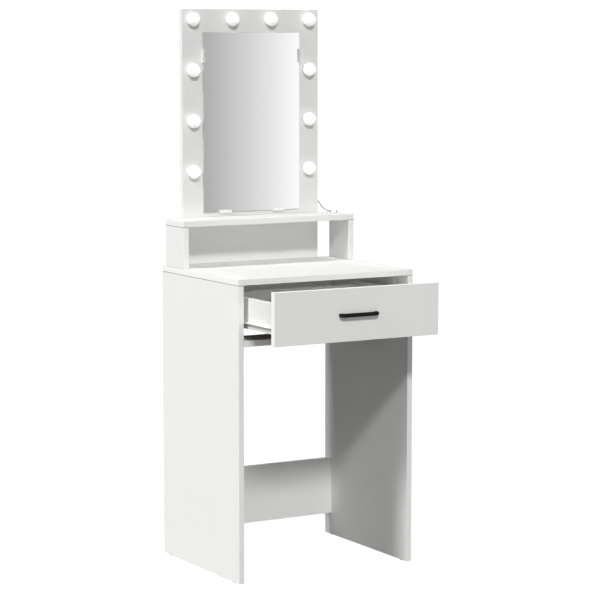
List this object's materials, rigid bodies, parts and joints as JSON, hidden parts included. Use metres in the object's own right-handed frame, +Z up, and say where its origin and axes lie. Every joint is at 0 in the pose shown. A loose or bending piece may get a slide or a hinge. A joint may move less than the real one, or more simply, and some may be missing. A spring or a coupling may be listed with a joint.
{
  "type": "vanity table with mirror",
  "caption": "Slim white vanity table with a drawer on roller runners, a low back shelf and a tall board that carries a frameless mirror edged with round lamps.",
  "frame": {"origin": "on the floor under the middle of the object's box at rest, with the drawer part open as in the picture", "axes": "+Z up, +X to the right of a person facing the front, the front and its drawer face -Y"},
  "size_m": [0.5, 0.562, 1.4],
  "materials": {
    "white_board": "white melamine-faced board, matt with a fine pearl texture and thin edge banding",
    "white_hardboard": "white lacquered hardboard, smooth",
    "glide_plastic": "white moulded plastic",
    "zinc": "die-cast zinc, dull",
    "zinc_steel": "zinc-plated steel",
    "beech": "bare beech",
    "mirror": "silvered float glass with polished edges",
    "clip_plastic": "white moulded plastic",
    "opal_plastic": "opal diffuser plastic, satin",
    "lamp_plastic": "white moulded plastic",
    "led_board": "white solder mask with LED packages",
    "cable_jacket": "grey PVC cable jacket",
    "connector_plastic": "white moulded plastic, satin",
    "nickel": "nickel-plated contact",
    "black_metal": "black powder coat, satin",
    "coated_steel": "cream white epoxy-coated steel",
    "nylon": "natural white nylon"
  },
  "bodies": {
    "carcass": {"side_panel_left": "white_board", "side_panel_right": "white_board", "tabletop": "white_board", "rear_rail_upper": "white_board", "rear_rail_lower": "white_board", "front_stretcher": "white_board", "hutch_side_left": "white_board", "hutch_side_right": "white_board", "hutch_shelf": "white_board", "mirror_board": "white_board", "floor_glides": "glide_plastic", "cam_caps": "clip_plastic", "cam_locks": "zinc", "cam_bolts": "zinc_steel", "hutch_screws": "zinc_steel", "mirror_board_screws": "zinc_steel", "cabinet_runner_screws": "zinc_steel", "cabinet_roller_axles": "zinc_steel", "wood_dowels": "beech", "mirror_glass": "mirror", "mirror_clip_left": "clip_plastic", "mirror_clip_right": "clip_plastic", "mirror_clip_bottom_left": "clip_plastic", "mirror_clip_bottom_right": "clip_plastic", "lamp_domes_top": "opal_plastic", "lamp_domes_left": "opal_plastic", "lamp_domes_right": "opal_plastic", "lamp_bases": "lamp_plastic", "lamp_nuts": "lamp_plastic", "led_boards": "led_board", "wiring_harness": "cable_jacket", "harness_clips": "clip_plastic", "lead_clip": "clip_plastic", "power_lead": "cable_jacket", "power_connector": "connector_plastic", "power_connector_contact": "nickel", "cabinet_runner_left": "coated_steel", "cabinet_runner_right": "coated_steel"},
    "drawer": {"drawer_front": "white_board", "drawer_side_left": "white_board", "drawer_side_right": "white_board", "drawer_back": "white_board", "drawer_bottom": "white_hardboard", "drawer_handle": "black_metal", "handle_screws": "zinc_steel", "drawer_cams": "zinc", "drawer_cam_bolts": "zinc_steel", "drawer_dowels": "beech", "drawer_screws": "zinc_steel", "drawer_runner_left": "coated_steel", "drawer_runner_right": "coated_steel", "drawer_runner_screws": "zinc_steel", "drawer_roller_axles": "zinc_steel"},
    "cabinet_roller_left": {"cabinet_roller_left": "nylon"},
    "cabinet_roller_right": {"cabinet_roller_right": "nylon"},
    "drawer_roller_left": {"drawer_roller_left": "nylon"},
    "drawer_roller_right": {"drawer_roller_right": "nylon"}
  },
  "joints": [
    {"name": "drawer_slide", "type": "slide", "parent": "carcass", "child": "drawer", "axis": [0, -1, 0], "range_m": [-0.144, 0.116]},
    {"name": "cabinet_roller_left_spin", "type": "hinge", "parent": "carcass", "child": "cabinet_roller_left", "pos_m": [-0.2288, -0.094, 0.6351], "axis": [1, 0, 0], "range_deg": [-1040, 840]},
    {"name": "cabinet_roller_right_spin", "type": "hinge", "parent": "carcass", "child": "cabinet_roller_right", "pos_m": [0.2288, -0.094, 0.6351], "axis": [1, 0, 0], "range_deg": [-1040, 840]},
    {"name": "drawer_roller_left_spin", "type": "hinge", "parent": "drawer", "child": "drawer_roller_left", "pos_m": [-0.2288, 0.087, 0.6351], "axis": [1, 0, 0], "range_deg": [-1040, 840]},
    {"name": "drawer_roller_right_spin", "type": "hinge", "parent": "drawer", "child": "drawer_roller_right", "pos_m": [0.2288, 0.087, 0.6351], "axis": [1, 0, 0], "range_deg": [-1040, 840]}
  ],
  "couplings": [
    {"joint": "cabinet_roller_left_spin", "follows": "drawer_slide", "rad_per_m": 125},
    {"joint": "cabinet_roller_right_spin", "follows": "drawer_slide", "rad_per_m": 125},
    {"joint": "drawer_roller_left_spin", "follows": "drawer_slide", "rad_per_m": 125},
    {"joint": "drawer_roller_right_spin", "follows": "drawer_slide", "rad_per_m": 125}
  ]
}
